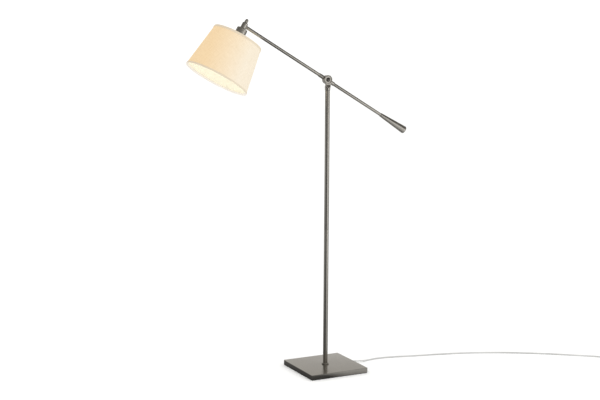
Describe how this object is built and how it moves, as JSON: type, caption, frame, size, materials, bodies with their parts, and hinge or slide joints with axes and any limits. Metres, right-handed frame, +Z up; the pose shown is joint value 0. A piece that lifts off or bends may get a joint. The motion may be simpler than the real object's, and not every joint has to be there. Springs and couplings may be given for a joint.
{
  "type": "adjustable arm floor lamp",
  "caption": "Floor lamp with a square weighted base, slim pole, tilting counterweighted boom and a swivelling head that holds a tapered drum fabric shade.",
  "frame": {"origin": "centre of the base's underside, on the pole's axis", "axes": "+Z up the pole; +X towards the counterweight, in the vertical plane of the boom, with the lamp head at -X; +Y horizontal across the boom"},
  "size_m": [1.9057, 0.6332, 1.4074],
  "materials": {
    "nickel": "satin nickel plate, fine brushed",
    "frame_wire": "plated steel wire",
    "iron": "rough black",
    "zinc_steel": "zinc plated",
    "brass": "plain",
    "felt": "felt",
    "fibre": "fibre washer",
    "phenolic": "moulded",
    "linen": "cream linen weave",
    "linen_trim": "folded binding tape",
    "opal_glass": "opal",
    "cord_plastic": "pale grey flexible PVC",
    "inner_wire": "PVC insulation"
  },
  "bodies": {
    "stand": {"base_pad": "felt", "base_weight": "iron", "base_cover": "nickel", "foot_nipple": "zinc_steel", "foot_washer": "zinc_steel", "foot_nut": "zinc_steel", "foot_collar": "nickel", "foot_bush": "zinc_steel", "mast_lower": "nickel", "mast_upper": "nickel", "mast_coupler": "zinc_steel", "top_bush": "zinc_steel", "mast_wire": "inner_wire", "base_lead": "inner_wire", "cord_gland": "cord_plastic", "power_cord": "cord_plastic", "cord_coil": "cord_plastic", "cord_tail": "cord_plastic", "plug_body": "cord_plastic", "plug_blade_left": "brass", "plug_blade_right": "brass"},
    "mast_head": {"swivel_neck": "nickel", "swivel_stud": "zinc_steel", "stud_nut": "zinc_steel", "pivot_bolt": "nickel", "friction_washer": "fibre", "spring_washer": "zinc_steel", "pivot_nut": "zinc_steel"},
    "boom": {"arm_hub": "nickel", "hub_cap": "nickel", "rear_ferrule": "nickel", "front_ferrule": "nickel", "front_arm": "nickel", "rear_arm": "nickel", "arm_wire": "inner_wire", "counterweight": "nickel", "rear_arm_insert": "zinc_steel", "counterweight_stud": "zinc_steel", "head_spigot": "zinc_steel", "spigot_nut": "zinc_steel", "head_washer": "fibre"},
    "lamp_head": {"swivel_body": "nickel", "socket_nipple": "zinc_steel", "upper_locknut": "zinc_steel", "lower_locknut": "zinc_steel", "switch_housing": "phenolic", "socket_cup": "nickel", "lampholder": "phenolic", "screw_shell": "brass", "centre_contact": "brass", "ring_nut": "phenolic", "bulb_cap": "brass", "bulb_globe": "opal_glass", "shade_fabric": "linen", "shade_top_trim": "linen_trim", "shade_bottom_trim": "linen_trim", "shade_spider": "frame_wire", "shade_bottom_ring": "frame_wire"},
    "switch": {"switch_knob": "nickel", "switch_shaft": "zinc_steel"}
  },
  "joints": [
    {"name": "mast_swivel", "type": "hinge", "parent": "stand", "child": "mast_head", "pos_m": [0, 0, 1.1328], "axis": [0, 0, 1], "range_deg": [-165, 165]},
    {"name": "boom_tilt", "type": "hinge", "parent": "mast_head", "child": "boom", "pos_m": [0, 0.0088, 1.175], "axis": [0, 1, 0], "range_deg": [-70, 12]},
    {"name": "head_roll", "type": "hinge", "parent": "boom", "child": "lamp_head", "pos_m": [-0.35594, 0.0088, 1.3805], "axis": [0.866, 0, -0.5], "range_deg": [-90, 90]},
    {"name": "switch_turn", "type": "hinge", "parent": "lamp_head", "child": "switch", "pos_m": [-0.35594, 0.0088, 1.3805], "axis": [0.5, 0, 0.866], "continuous": true}
  ]
}
